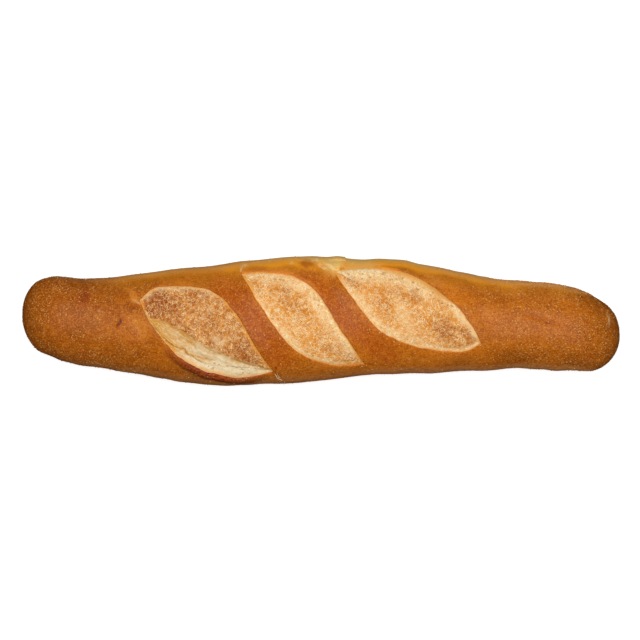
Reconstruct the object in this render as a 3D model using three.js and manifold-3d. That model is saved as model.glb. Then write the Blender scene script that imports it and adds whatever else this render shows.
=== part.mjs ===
// A short loaf of white bread, a demi-baguette with three slashes, as one solid.
// Millimetres, +Z up. It lies along X on its flat base, and the origin is the middle of the base.
//
// The crust is a loft. Three leaf-shaped openings are cut through it, where the dough has spread
// apart along the slashes, and the crumb swells up in them to just under the crust.
import * as THREE from "three";
import { mergeVertices } from "three/addons/utils/BufferGeometryUtils.js";
import Module from "manifold-3d";

// ---- Driving dimensions ----

const LENGTH = 300;
const LEFT_CAP = 20; // length of the rounded end at -X
const RIGHT_CAP = 24; // length of the rounded end at +X
const CAP_POWER = 2.2; // superellipse of the rounded ends, in plan and from the side
const BELLY = 0.42; // height of the widest line, as a share of the crown's height
const SINK = 1.6; // how far the section would reach below the table, which flattens the base
const CROWN_POWER = 2.25; // superellipse of the section above the widest line
const BASE_POWER = 2.9; // and below it

const CRUST = 1.8; // from the crust's face down to the crumb at the edge of an opening
const SWELL = 1.4; // how far the crumb rises again in the middle of an opening
const SWELL_REACH = 9; // distance from the edge at which it has risen
const RIB = 0.9; // how far the crust stands up beside an opening
const RIB_REACH = 8; // distance from the edge at which it has come down again

const EAR_WIDTH = 2.4; // half width of the lifted lip below the first slash
const EAR_HEIGHT = 1.8; // its half height
const EAR_SPAN = [0.3, 0.97]; // where it starts and ends, as shares of the slash's lower side
const EAR_TAPER = 0.8; // below 1 it stays full for longer before it tapers

// The loaf's plan and crown at stations along X: x, middle of the width, half the width, height.
const STATIONS = [
  [-150, 3.5, 20.5, 31.5],
  [-130, 1.2, 21.3, 34],
  [-110, -1.0, 22.8, 37],
  [-90, -1.7, 25.7, 40.5],
  [-70, -2.0, 28.6, 43],
  [-50, -1.9, 30.6, 44.5],
  [-30, -0.3, 31.5, 45],
  [-10, 0.8, 31.7, 45],
  [10, 1.9, 30.6, 44.5],
  [20, 2.2, 29.5, 44],
  [30, 2.4, 29.2, 43.5],
  [50, 1.0, 27.6, 42],
  [70, -0.3, 25.3, 40],
  [90, -1.8, 23.0, 38],
  [110, -2.6, 22.1, 36],
  [130, -4.8, 21.4, 34],
  [150, -7.0, 20.5, 32],
];

// The openings in plan. Each side runs from the slash's head, at -X, to its tail.
const SLASHES = [
  {
    head: [-90.5, 10.5],
    upper: [[-82.5, 16.5], [-67, 17.5], [-54, 15], [-43.5, 5.5], [-36.5, -5.5], [-30.5, -16]],
    lower: [[-85.5, -0.5], [-79, -10], [-72, -18], [-60, -24.5], [-43.5, -28], [-33, -27.5]],
    tail: [-24, -25],
  },
  {
    head: [-39.5, 23.5],
    upper: [[-28.5, 24.5], [-15.5, 23], [-5.5, 18], [2, 9.5], [8, -0.5], [14.5, -10.5]],
    lower: [[-36, 18], [-30.5, 7.5], [-23, -3], [-16, -11], [-6, -18.5], [6.5, -22], [14, -22]],
    tail: [21.5, -21],
  },
  {
    head: [6.5, 25],
    upper: [[21.5, 26.5], [36.5, 25.5], [48.5, 21.5], [58.5, 15], [68.5, 6.5], [76, -3.5]],
    lower: [[12, 16.5], [20, 5.5], [27, -3], [38, -10], [51.5, -14], [66, -15.5], [74, -14.5]],
    tail: [80, -11],
  },
];

const MIDDLE_STEPS = 56; // stations between the rounded ends
const CAP_STEPS = 7; // stations in each rounded end
const AROUND = 46; // points round a section
const FINER = 1.4; // how much finer the crumb is than the crust
const OUTLINE_STEPS = 32; // straight stretches in each side of an opening
const EAR_STEPS = 24;
const EAR_SIDES = 8;
const CHORD = 0.5; // half the chord along X from which a direction is taken
const CHORD_ANGLE = 0.02; // and half the one round the section, in radians

// ---- The loft ----

/** Cubic through a table's rows at x: each row is [x, value, value, ...]. */
function smoothRow(rows, x) {
  const last = rows.length - 2;
  let i = 0;
  while (i < last && x > rows[i + 1][0]) i++;
  const [a, b] = [rows[i], rows[i + 1]];
  const before = rows[Math.max(i - 1, 0)];
  const after = rows[Math.min(i + 2, rows.length - 1)];
  const step = b[0] - a[0];
  const t = (x - a[0]) / step;
  return a.slice(1).map((_, k) => {
    const slopeA = (b[k + 1] - before[k + 1]) / (b[0] - before[0]);
    const slopeB = (after[k + 1] - a[k + 1]) / (after[0] - a[0]);
    const keepA = (1 + 2 * t) * (1 - t) ** 2 * a[k + 1];
    const keepB = t * t * (3 - 2 * t) * b[k + 1];
    return keepA + keepB + t * (1 - t) * ((1 - t) * slopeA - t * slopeB) * step;
  });
}

/** How much of its full section the loaf has at x: 1 between the ends, 0 at the tips. */
function endScale(x) {
  const cap = x < 0 ? LEFT_CAP : RIGHT_CAP;
  const t = Math.max(0, (Math.abs(x) - (LENGTH / 2 - cap)) / cap);
  return Math.max(0, 1 - t ** CAP_POWER) ** (1 / CAP_POWER);
}

/** Point on the smooth outer form, at an angle round the section: 0 is +Y, a quarter turn is up. */
function outer(x, angle) {
  const [middle, half, crown] = smoothRow(STATIONS, x);
  const scale = endScale(x);
  const [c, s] = [Math.cos(angle), Math.sin(angle)];
  const power = 2 / (s > 0 ? CROWN_POWER : BASE_POWER);
  const belly = BELLY * crown;
  const reach = s > 0 ? crown - belly : belly + SINK;
  const y = middle + half * scale * Math.sign(c) * Math.abs(c) ** power;
  const z = belly + reach * scale * Math.sign(s) * Math.abs(s) ** power;
  return new THREE.Vector3(x, y, Math.max(0, z));
}

/** Outward direction of the outer form, from two short chords across the point. */
function outward(x, angle) {
  const inside = LENGTH / 2 - 1.2 * CHORD;
  const at = THREE.MathUtils.clamp(x, -inside, inside);
  const along = outer(at + CHORD, angle).sub(outer(at - CHORD, angle));
  const round = outer(at, angle + CHORD_ANGLE).sub(outer(at, angle - CHORD_ANGLE));
  return round.cross(along).normalize();
}

/** Positions of the stations: even between the rounded ends, closing up towards the tips. */
function stationsAlong(finer) {
  const [left, right] = [LEFT_CAP - LENGTH / 2, LENGTH / 2 - RIGHT_CAP];
  const caps = Math.round(CAP_STEPS * finer);
  const middle = Math.round(MIDDLE_STEPS * finer);
  const xs = [];
  for (let i = 1; i < caps; i++) xs.push(left - LEFT_CAP * Math.cos((i / caps) * (Math.PI / 2)));
  for (let i = 0; i <= middle; i++) xs.push(left + ((right - left) * i) / middle);
  for (let i = 1; i < caps; i++) xs.push(right + RIGHT_CAP * Math.sin((i / caps) * (Math.PI / 2)));
  return xs;
}

/** Closed loft: the outer form moved outwards by offset(point). */
function loft(finer, offset) {
  const around = Math.round(AROUND * finer);
  const xs = stationsAlong(finer);
  const tip = (side) => {
    const end = outer((side * LENGTH) / 2, 0);
    return end.add(new THREE.Vector3(side * offset(null), 0, 0));
  };
  const points = [tip(-1)];
  for (const x of xs) {
    for (let j = 0; j < around; j++) {
      const angle = (2 * Math.PI * j) / around;
      const p = outer(x, angle);
      points.push(p.addScaledVector(outward(x, angle), offset(p)));
    }
  }
  points.push(tip(1));
  const at = (i, j) => 1 + i * around + (j % around);
  const faces = [];
  for (let j = 0; j < around; j++) {
    faces.push(0, at(0, j + 1), at(0, j));
    faces.push(points.length - 1, at(xs.length - 1, j), at(xs.length - 1, j + 1));
    for (let i = 0; i + 1 < xs.length; i++) {
      faces.push(at(i, j), at(i, j + 1), at(i + 1, j + 1));
      faces.push(at(i, j), at(i + 1, j + 1), at(i + 1, j));
    }
  }
  return new THREE.BufferGeometry().setFromPoints(points).setIndex(faces);
}

// ---- The slashes ----

/** One side of an opening as a smooth plan curve from the head to the tail. */
function sideCurve(slash, side) {
  const points = [slash.head, ...slash[side], slash.tail];
  return new THREE.SplineCurve(points.map(([x, y]) => new THREE.Vector2(x, y)));
}

/** The whole outline of an opening, anticlockwise. */
function outlineOf(slash) {
  const lower = sideCurve(slash, "lower").getSpacedPoints(OUTLINE_STEPS);
  const upper = sideCurve(slash, "upper").getSpacedPoints(OUTLINE_STEPS).reverse();
  return [...lower, ...upper.slice(1, -1)];
}

function isInside(outline, p) {
  let inside = false;
  outline.forEach((a, i) => {
    const b = outline[(i + 1) % outline.length];
    const crosses = a.y > p.y !== b.y > p.y;
    if (crosses && p.x < a.x + ((b.x - a.x) * (p.y - a.y)) / (b.y - a.y)) inside = !inside;
  });
  return inside;
}

/** Distance in plan from a point to the nearest outline: positive inside it, negative outside. */
function depthInside(outlines, p) {
  let nearest = Infinity;
  let inside = false;
  for (const outline of outlines) {
    outline.forEach((a, i) => {
      const b = outline[(i + 1) % outline.length];
      const [dx, dy] = [b.x - a.x, b.y - a.y];
      const t = ((p.x - a.x) * dx + (p.y - a.y) * dy) / (dx * dx + dy * dy);
      const u = THREE.MathUtils.clamp(t, 0, 1);
      nearest = Math.min(nearest, Math.hypot(a.x + u * dx - p.x, a.y + u * dy - p.y));
    });
    inside = inside || isInside(outline, p);
  }
  return inside ? nearest : -nearest;
}

const outlines = SLASHES.map(outlineOf);
const bellyLevel = BELLY * Math.max(...STATIONS.map((row) => row[3]));

/** The crust stands up a little in a band beside each opening. */
function ribOffset(p) {
  if (!p || p.z < bellyLevel) return 0;
  const away = Math.abs(depthInside(outlines, p)) / RIB_REACH;
  return away < 1 ? RIB * Math.cos(away * (Math.PI / 2)) ** 2 : 0;
}

/** The crumb lies under the crust, and swells up to just below its face inside an opening. */
function crumbOffset(p) {
  if (!p || p.z < bellyLevel) return -CRUST;
  const t = THREE.MathUtils.clamp(depthInside(outlines, p) / SWELL_REACH, 0, 1);
  return SWELL * Math.sin(t * (Math.PI / 2)) - CRUST;
}

/** Upright block with an opening's outline, from the widest line up, which cuts it through the crust. */
function cutterOf(outline) {
  const shape = new THREE.Shape(outline);
  const block = new THREE.ExtrudeGeometry(shape, { depth: LENGTH, bevelEnabled: false });
  return block.translate(0, 0, bellyLevel);
}

/** Angle round the section at which the crown has a given y. */
function angleAt(x, y) {
  const [middle, half] = smoothRow(STATIONS, x);
  const u = THREE.MathUtils.clamp((y - middle) / half, -1, 1);
  return Math.acos(Math.sign(u) * Math.abs(u) ** (CROWN_POWER / 2));
}

/** The lifted lip along the lower side of a slash: a roll that tapers to nothing at both ends. */
function earOf(slash) {
  const path = sideCurve(slash, "lower");
  const points = [];
  for (let i = 0; i <= EAR_STEPS; i++) {
    const t = i / EAR_STEPS;
    const u = THREE.MathUtils.lerp(...EAR_SPAN, t);
    const size = Math.max(0, Math.sin(Math.PI * t)) ** EAR_TAPER;
    const plan = path.getPointAt(u);
    const angle = angleAt(plan.x, plan.y);
    const up = outward(plan.x, angle);
    const flow = path.getTangentAt(u);
    const along = new THREE.Vector3(flow.x, flow.y, 0);
    const across = new THREE.Vector3().crossVectors(up, along).normalize();
    const centre = outer(plan.x, angle).addScaledVector(across, -EAR_WIDTH * 0.5 * size);
    if (i === 0 || i === EAR_STEPS) {
      points.push(centre);
      continue;
    }
    for (let j = 0; j < EAR_SIDES; j++) {
      const turn = (2 * Math.PI * j) / EAR_SIDES;
      const p = centre.clone().addScaledVector(across, EAR_WIDTH * size * Math.cos(turn));
      points.push(p.addScaledVector(up, EAR_HEIGHT * size * Math.sin(turn)));
    }
  }
  const at = (i, j) => 1 + i * EAR_SIDES + (j % EAR_SIDES);
  const faces = [];
  const rings = EAR_STEPS - 1;
  for (let j = 0; j < EAR_SIDES; j++) {
    faces.push(0, at(0, j + 1), at(0, j));
    faces.push(points.length - 1, at(rings - 1, j), at(rings - 1, j + 1));
    for (let i = 0; i + 1 < rings; i++) {
      faces.push(at(i, j), at(i, j + 1), at(i + 1, j + 1));
      faces.push(at(i, j), at(i + 1, j + 1), at(i + 1, j));
    }
  }
  return new THREE.BufferGeometry().setFromPoints(points).setIndex(faces);
}

// ---- The solid ----

const wasm = await Module();
wasm.setup();

function solidOf(geometry) {
  const bare = geometry.clone();
  bare.deleteAttribute("normal");
  bare.deleteAttribute("uv");
  const merged = mergeVertices(bare, 1e-4);
  const mesh = new wasm.Mesh({
    numProp: 3,
    vertProperties: new Float32Array(merged.attributes.position.array),
    triVerts: new Uint32Array(merged.index.array),
  });
  return new wasm.Manifold(mesh);
}

function geometryOf(solid) {
  const { vertProperties, triVerts } = solid.getMesh();
  const geometry = new THREE.BufferGeometry();
  geometry.setAttribute("position", new THREE.BufferAttribute(vertProperties, 3));
  geometry.setIndex(new THREE.BufferAttribute(triVerts, 1));
  geometry.computeVertexNormals();
  return geometry;
}

let loaf = solidOf(loft(1, ribOffset));
for (const outline of outlines) loaf = loaf.subtract(solidOf(cutterOf(outline)));
loaf = loaf.add(solidOf(loft(FINER, crumbOffset)));
loaf = loaf.add(solidOf(earOf(SLASHES[0])));

const crustMaterial = new THREE.MeshStandardMaterial({
  color: new THREE.Color().setRGB(0.7, 0.4, 0.13, THREE.SRGBColorSpace),
  roughness: 0.55,
  metalness: 0,
});

const mesh = new THREE.Mesh(geometryOf(loaf), crustMaterial);
mesh.name = "loaf";
const group = new THREE.Group();
group.add(mesh);
export default group;
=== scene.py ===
"""A short slashed loaf, a demi-baguette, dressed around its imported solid.

The crust is one fine mesh of the solid's own loft, opened along three slashes with rolled lips.
The crumb that swells in each opening is a mesh of its own, with its threads and pores as relief.
Sizes are in millimetres, and turned into metres only when a mesh is made.
"""

import itertools
import math

import bmesh
import bpy
import numpy as np
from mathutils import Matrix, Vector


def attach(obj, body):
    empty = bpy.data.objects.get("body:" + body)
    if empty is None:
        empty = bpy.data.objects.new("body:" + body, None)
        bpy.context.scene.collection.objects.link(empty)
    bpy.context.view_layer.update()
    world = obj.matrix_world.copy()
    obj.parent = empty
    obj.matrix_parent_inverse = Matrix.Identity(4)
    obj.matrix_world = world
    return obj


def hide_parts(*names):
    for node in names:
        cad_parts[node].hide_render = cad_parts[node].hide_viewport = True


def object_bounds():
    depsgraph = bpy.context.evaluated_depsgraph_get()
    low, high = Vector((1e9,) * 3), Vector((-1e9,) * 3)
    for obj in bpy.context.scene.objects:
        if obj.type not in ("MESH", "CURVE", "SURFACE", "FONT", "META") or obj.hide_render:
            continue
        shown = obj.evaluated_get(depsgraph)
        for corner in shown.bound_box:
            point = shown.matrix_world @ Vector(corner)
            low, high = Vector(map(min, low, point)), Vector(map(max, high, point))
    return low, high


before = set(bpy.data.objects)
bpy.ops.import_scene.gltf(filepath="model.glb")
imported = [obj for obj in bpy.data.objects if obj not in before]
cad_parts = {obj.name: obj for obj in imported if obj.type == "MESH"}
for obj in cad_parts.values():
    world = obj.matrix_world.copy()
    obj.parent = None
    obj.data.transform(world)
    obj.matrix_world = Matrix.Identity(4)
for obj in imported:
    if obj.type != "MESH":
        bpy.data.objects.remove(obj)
cad_low, cad_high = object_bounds()

# ---- Driving dimensions, the same as the solid's ----

LENGTH = 300.0
LEFT_CAP = 20.0  # length of the rounded end at -X
RIGHT_CAP = 24.0  # length of the rounded end at +X
CAP_POWER = 2.2  # superellipse of the rounded ends, in plan and from the side
BELLY = 0.42  # height of the widest line, as a share of the crown's height
SINK = 1.6  # how far the section would reach below the table, which flattens the base
CROWN_POWER = 2.25  # superellipse of the section above the widest line
BASE_POWER = 2.9  # and below it
RIB = 0.9  # how far the crust stands up beside an opening
RIB_REACH = 8.0  # distance from the edge at which it has come down again
EAR_WIDTH = 2.4  # half width of the lifted lip below the first slash
EAR_HEIGHT = 1.8  # its half height
EAR_SPAN = (0.3, 0.97)  # where it starts and ends, as shares of the slash's lower side
EAR_TAPER = 0.8  # below 1 it stays full for longer before it tapers
EAR_TURN = 1.2  # how far the crust curls back over the lip, towards the crumb

MM = (cad_high.x - cad_low.x) / LENGTH  # metres in one of this script's millimetres

# The loaf's plan and crown at stations along X: x, middle of the width, half the width, height.
STATIONS = np.array([
    [-150, 3.5, 20.5, 31.5], [-130, 1.2, 21.3, 34], [-110, -1, 22.8, 37], [-90, -1.7, 25.7, 40.5],
    [-70, -2, 28.6, 43], [-50, -1.9, 30.6, 44.5], [-30, -0.3, 31.5, 45], [-10, 0.8, 31.7, 45],
    [10, 1.9, 30.6, 44.5], [20, 2.2, 29.5, 44], [30, 2.4, 29.2, 43.5], [50, 1, 27.6, 42],
    [70, -0.3, 25.3, 40], [90, -1.8, 23, 38], [110, -2.6, 22.1, 36], [130, -4.8, 21.4, 34],
    [150, -7, 20.5, 32],
])
BELLY_LEVEL = BELLY * STATIONS[:, 3].max()
ON_TOP = BELLY_LEVEL - 4  # marks that are given in plan lie only above this height

# The openings in plan. Each side runs from the slash's head, at -X, to its tail.
SLASHES = [
    {
        "head": (-90.5, 10.5),
        "upper": [(-82.5, 16.5), (-67, 17.5), (-54, 15), (-43.5, 5.5), (-36.5, -5.5), (-30.5, -16)],
        "lower": [(-85.5, -0.5), (-79, -10), (-72, -18), (-60, -24.5), (-43.5, -28), (-33, -27.5)],
        "tail": (-24, -25),
    },
    {
        "head": (-39.5, 23.5),
        "upper": [(-28.5, 24.5), (-15.5, 23), (-5.5, 18), (2, 9.5), (8, -0.5), (14.5, -10.5)],
        "lower": [(-36, 18), (-30.5, 7.5), (-23, -3), (-16, -11), (-6, -18.5), (6.5, -22), (14, -22)],
        "tail": (21.5, -21),
    },
    {
        "head": (6.5, 25),
        "upper": [(21.5, 26.5), (36.5, 25.5), (48.5, 21.5), (58.5, 15), (68.5, 6.5), (76, -3.5)],
        "lower": [(12, 16.5), (20, 5.5), (27, -3), (38, -10), (51.5, -14), (66, -15.5), (74, -14.5)],
        "tail": (80, -11),
    },
]

# How far the crust's edge hangs in over each opening, at even shares from head to tail.
OVERHANGS = [
    {"upper": (0.0, 0.6, 0.25, 0.3, -0.2), "lower": (-0.8, 0.6, 0.1, -0.3, 0.4)},
    {"upper": (0.7, 0.45, 0.45, 0.5, 0.2), "lower": (-1.3, 0.5, -0.6, 0.2, 0.6)},
    {"upper": (0.3, 0.4, 0.3, -0.2, -0.2), "lower": (-0.2, 0.2, 0.4, 0.45, 0.3)},
]
# Where the loaf's side stands out from the solid's: x, side, half the length, how far.
SWELLS = [
    (-122, 1, 12, -0.6), (-143, 1, 6, 0.4), (-56, 1, 14, -0.25), (-30, 1, 14, -0.45), (2, 1, 8, -0.3),
    (18, 1, 20, -0.9), (42, 1, 8, 0.65), (67, 1, 8, -0.4), (80, 1, 18, -0.5), (93, 1, 10, -0.3),
    (106, 1, 8, -0.4), (130, 1, 8, -0.5), (139, 1, 12, -1.1), (-136, -1, 7, -0.9), (-121, -1, 9, 0.45),
    (-90, -1, 16, -0.6), (-30, -1, 13, -0.55), (-41, -1, 7, -0.35), (46, -1, 12, -0.55),
    (70, -1, 12, -0.4), (-78, -1, 6, -0.35), (-107, -1, 7, -0.3), (98, -1, 14, -1.1),
    (127, -1, 12, -1.25), (112, -1, 8, -0.45),
]

# ---- Sizes of the visible detail ----

ALONG_STEP = 0.62  # crust mesh, between stations
CAP_STEPS = 34  # stations in each rounded end
AROUND = 208  # crust mesh, points round a section
OUTLINE_STEP = 0.5  # spacing of the points of an opening's outline
LIP = 0.45  # radius of the crust's rolled edge
CRUMB_STEP = 0.18  # crumb mesh
TUCK = 1.6  # how far the crumb runs in under the crust
GRAIN_RADIUS = 0.17  # a typical grain of semolina
EDGE_DROP = 0.45  # how far below the crust's face the crumb starts at an edge
THREAD_RADIUS = 0.11  # a typical fibre of torn crumb
THREAD_LENGTHS = (1.0, 3.2)
THREAD_STEPS = 7  # points along a fibre
THREADS_EACH = 1250  # fibres in each opening

# ---- Marks in plan ----
# Each mark is an oval: x, y, half its length, half its width, turn in degrees, strength.

SCORCHES = [  # blisters and scorched spots, darker than the crust
    (-118.7, 11.5, 6, 4, 70, 0.8), (-100.6, -1.3, 3, 1.5, 50, 1), (-97, -0.8, 1.6, 0.8, 10, 0.6),
    (-110.9, 6.5, 1.5, 1.2, 60, 0.8), (-92.8, -6.5, 1.9, 1.5, 30, 0.6), (-93.6, -10.3, 1.7, 1, 10, 0.5),
    (-112.9, -4.3, 1, 0.8, 0, 0.45), (-102.6, -6.3, 1.2, 0.8, 20, 0.35), (-99.6, 11.8, 1.6, 1, 30, 0.4),
    (-122.7, -5.8, 0.9, 0.8, 0, 0.3), (-118.7, -15.6, 1.8, 0.6, -10, 0.8),
    (-82.5, 17.8, 2.6, 0.9, 15, 0.6), (-22.5, -23.2, 1.2, 0.9, -40, 0.9),
    (-83, -18.8, 2.2, 1.1, 20, 0.45), (-79.5, -24.8, 2.6, 1, -20, 0.4), (-7, 28.3, 4.6, 2.4, -5, 0.7),
    (95.6, 1.8, 1.4, 0.9, -40, 0.4), (114, -0.9, 2.4, 1.2, -15, 0.9), (133.6, -18.4, 2.6, 1.4, 60, 0.6),
    (131.2, 12.3, 0.6, 0.5, 0, 1),
]
DARK_CLOUDS = [  # where the crust is browner, and then where it is lighter
    (-118.7, 11.5, 7, 4.5, 70, 1.2), (-94.8, 7, 5, 2.6, -12, 0.7), (-40, 10, 9, 4.5, -60, 1.6),
    (-26.5, -13, 8, 4, -55, 1), (-138, 16, 9, 4.5, 30, 0.4), (-128, -19, 12, 3.5, -15, 0.4),
    (-62, -30.5, 14, 2.5, 5, 0.5), (100, -18, 16, 4, 2, 0.6), (128, -21, 9, 3.5, 0, 0.5),
    (133, 12, 11, 6, -30, 0.7), (72, 19, 9, 4, -25, 0.4), (-46, 22.5, 5, 8, 20, 0.8),
    (-126, 15, 8, 4, 0, 0.6), (-41, -29.6, 6, 2.2, 8, 1.2), (-42, 13, 8, 4, -60, 0.4),
    (-96, -16, 10, 5, 0, 0.5), (-36, -8, 16, 3.4, -58, 1.2), (-26.5, -17, 5, 3, -50, 0.8),
    (43, 25, 8, 2.5, -25, 0.5), (-80, -26.5, 9, 2.6, -20, 0.6), (8.5, 12.5, 9, 3.2, -60, 0.7),
    (-45, 23, 6, 4, -40, 0.6), (-60, -32, 22, 2.5, 0, 0.6),
]
LIGHT_CLOUDS = [
    (52, -18.5, 16, 4, 3, 0.8), (67, 12.5, 9, 4, -40, 0.8), (-98, -2, 9, 7, 0, 0.3),
    (90, 2, 18, 7, 0, 0.25), (-70, 22, 14, 3, 5, 0.3), (118, -3, 9, 6, 0, 0.3), (0, 17, 7, 3, -45, 1.1),
    (-123, 1, 9, 5, 0, 0.4), (32, -10, 6, 2.5, -30, 0.4), (30, -25.5, 13, 3, 0, 0.8),
    (79, -14, 6, 3, 10, 0.5),
]
GLOW_PATCHES = [  # light orange skin
    (-93.2, 12, 5, 2.6, -60, 0.7), (-90.5, -2.5, 7, 4, -62, 0.6), (-2, 11, 10, 2.4, -62, 0.6),
    (57, 20, 7, 3, -30, 0.5),
]
PALE_PATCHES = [  # skin that the oven reached late, up to the torn edge of the flake
    (7, 30, 6.5, 7.5, 20, 1), (-1, 31.5, 12, 2.6, 0, 0.8),
]
LIGHT_EDGES = [  # pale outline beyond the flake
    (20, 31.6, 15, 2.6, 0, 1), (20, 28.6, 10, 2.4, -4, 0.5),
]
RUDDY_BANDS = [  # the middle lines of the bands of crust between the slashes
    [(-50, 20), (-36, 4), (-27, -8), (-20, -18)],
    [(-6, 21), (9, 5), (20, -6), (33, -16)],
]
CHALKY_SPOTS = [  # whitish flecks on the pale skin at the third slash's head
    (-2.2, 30.7, 1, 0.6, 20, 1), (-3.8, 29.9, 0.8, 0.5, 50, 0.8), (0, 28.8, 1, 0.5, 0, 1),
    (0.5, 27.8, 0.6, 0.5, 40, 0.9), (-0.8, 27.8, 0.6, 0.4, 0, 0.8), (-0.6, 26.8, 0.8, 0.45, -20, 0.9),
    (1.2, 26, 0.9, 0.45, -30, 1), (2.5, 26.5, 0.6, 0.45, 0, 0.9), (2.1, 27.6, 0.7, 0.5, 60, 0.8),
    (-37.6, 27.7, 1, 0.6, 20, 0.7), (-31.5, 30, 0.8, 0.4, 10, 0.6), (-25.5, 30.3, 0.8, 0.4, 10, 0.6),
    (-14.8, 28.4, 0.8, 0.8, 0, 0.6),
]
CREASES = [  # valleys in the crust: their line, depth, half width and how much painted shade darkens them
    ([(102.6, 3.3), (109.6, 1.3), (114.1, -0.8), (121.2, -1.5)], 0.8, 1.5, 0.6),
    ([(-92.3, 15), (-91, 12.6), (-90, 10.8)], 0.6, 0.6, 0.35),
    ([(-96.5, 8.6), (-93, 8), (-90.2, 6.8)], 0.5, 0.7, 0.5),
    ([(-41.4, 28.8), (-40.9, 26.5), (-40.6, 24.6)], 0.3, 0.5, 0.1),
    ([(-23.6, -24.4), (-22, -26.6), (-20.4, -28)], 0.6, 0.5, 0.9),
    ([(0.5, 29), (2.8, 27.4), (4.9, 25.4)], 0.3, 0.6, 0.15),
    ([(21.5, -21), (25, -21.8)], 0.4, 0.5, 0.4),
    ([(-118, -13.2), (-118.6, -15.6), (-119.6, -17)], 0.4, 0.5, 0.5),
]
PALE_LINES = [  # torn pale edges on the crust: their line, height, half width and strength
    ([(-39.2, 28.8), (-39.8, 26.4), (-40.3, 24.4)], 0.25, 0.45, 0.5),
    ([(3, 29), (5.3, 27.3), (6.9, 25)], 0.4, 0.9, 0.8),
    ([(12.2, 31.9), (11.2, 29.4), (10.3, 26.4)], 0.3, 0.35, 0.6),
    ([(-94.2, 10.3), (-92, 9.3), (-90.2, 8.4)], 0.2, 0.5, 0.4),
    ([(143.6, 4.4), (144.5, 0.8), (144.1, -2.8)], 0.2, 0.45, 0.55),
]
SHREDS = [  # torn strings at the ends of the slashes: their line in plan and thickness
    ([(-23.1, -26.3), (-22.2, -28), (-21, -29), (-19.6, -29.8)], 0.26),
    ([(-22.4, -25.6), (-21.5, -27.2), (-20.4, -28.6)], 0.2), ([(-18.1, -30.2), (-18.4, -31.8)], 0.26),
    ([(-38.8, 28.4), (-39.6, 26.3), (-40.3, 24.3)], 0.16),
    ([(18.6, -20.7), (20.2, -21), (21.9, -21.6)], 0.2),
    ([(76.8, -11.9), (79.2, -12.1), (80.8, -11.2)], 0.2), ([(79.4, -9.6), (80.4, -10.6)], 0.16),
]
FLAP = ((2.5, 9), (12.3, 11.9), 0.6)  # a flake on the outline: rise and fall along X, height

# How golden the crust is low on its +Y side, and how dark all round, at stations along X.
SIDE_TONES = np.array([
    [-150, 0, 1.2], [-120, 0, 1.15], [-92, 0.36, 0.6], [-60, 0.38, 0.4], [-30, 0.6, 0.3],
    [0, 0.95, 0.25], [35, 1, 0.25], [60, 0.65, 0.3], [100, 0.45, 0.62], [130, 0.2, 0.76],
    [150, 0.1, 1.1],
])

# The toasted panel of the first opening ends at this line, with paler folds below it.
PANEL_EDGE = [
    (-87.5, 4.5), (-85, 1.2), (-80.5, 0.3), (-74, -2.3), (-65.5, -7.8), (-55.4, -13.3), (-49.4, -16.3),
    (-41.9, -19.3), (-32.9, -21.8), (-25, -24.2),
]
FOLD = [  # the cleft between the upper fold and the strip along the ear
    (-85.5, 0), (-82, -4.3), (-79, -8.3), (-72, -13.1), (-68.5, -14.3), (-66.5, -16.8), (-58.4, -20.8),
    (-50, -22.9), (-41, -23.3), (-33.4, -23.9), (-24.5, -24.9),
]
FOLD_CREASES = [  # softer creases in the folds: their line, depth, half width, how much painted shade darkens them
    ([(-67.5, -15.8), (-65.5, -17.3), (-62, -18.1), (-58, -19.3), (-52.9, -20.3)], 0.45, 0.5, 0.6),
    ([(-76.5, -4.2), (-70.5, -8.4), (-64.5, -12), (-60.5, -14.2)], 0.35, 0.9, 0.3),
    ([(-60, -14.4), (-56, -16.4), (-52.5, -17), (-48.5, -18.6)], 0.4, 0.6, 0.4),
    ([(-43, -19.8), (-37.9, -21.8), (-32.9, -23.1), (-28.9, -23.6), (-25.1, -24)], 0.5, 0.6, 0.9),
    ([(-83.5, 1.2), (-81, -1.6), (-77, -5.5)], 0.3, 0.7, 0.3),
]
# How open the cleft is at places along it, from one end to the other.
FOLD_OPEN = [(0, 0.2), (0.06, 0.9), (0.24, 1.0), (0.29, 0.2), (0.35, 0.9), (0.38, 0.3), (0.45, 0.8),
             (0.52, 0.2), (0.58, 0), (1, 0)]
TOASTED = [  # for each opening: how brown it is at its head and tail, and browner marks
    (0.84, 0.6, [
        (-80.5, 9.3, 9, 6, -20, 0.5), (-86, 4.8, 4, 3, -50, 0.5), (-36, -16, 9, 5, -45, 0.35),
    ]),
    (0.16, 0.22, [
        (-16, 10, 15, 6.5, -45, 0.36), (1.3, -8, 6, 4, -50, 0.2), (3.5, -13, 5, 3.5, -40, 0.3),
        (-33, 16.5, 6, 4, -50, 0.3), (13, -16.5, 8, 4, -35, 0.3),
    ]),
    (0.2, 0.34, [
        (15, 20.5, 6, 3.8, -50, 0.4), (32, 9, 6.5, 5, -60, 0.28), (46.5, 12, 5, 4, -30, 0.3),
        (62, -4, 9, 5, -50, 0.62), (62.5, -6.5, 3.5, 3, 0, 0.8), (65, -3.5, 3, 2.5, 0, 0.6),
        (73, -6.5, 7, 4.0, -40, 0.4), (73, -11.5, 5, 2.5, 20, 0.35), (40, 13, 5, 3, -30, 0.3),
    ]),
]
MILKY = [  # paler marks away from the edges
    [(-51.5, -9.8, 4, 2.5, -30, 0.5)],
    [(-26, 20.5, 9, 2.2, -5, 0.5), (-12, 17, 12, 2.2, -16, 0.7), (-1, 6, 15, 3.0, -58, 0.75)],
    [
        (29, 22.2, 13, 3.0, -8, 0.6), (42, 1.5, 10, 3.2, -65, 0.6), (68.5, 4.5, 9, 2.8, -55, 0.9),
        (21, 8, 8, 2.6, -52, 0.7), (36, -6.5, 8, 2.6, -28, 0.8), (47, -9, 6, 2.2, -15, 0.6),
    ],
]
FIBRE_TURNS = (12, 58, 104, -36)  # ways that the crumb's fibres run, in degrees
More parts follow.
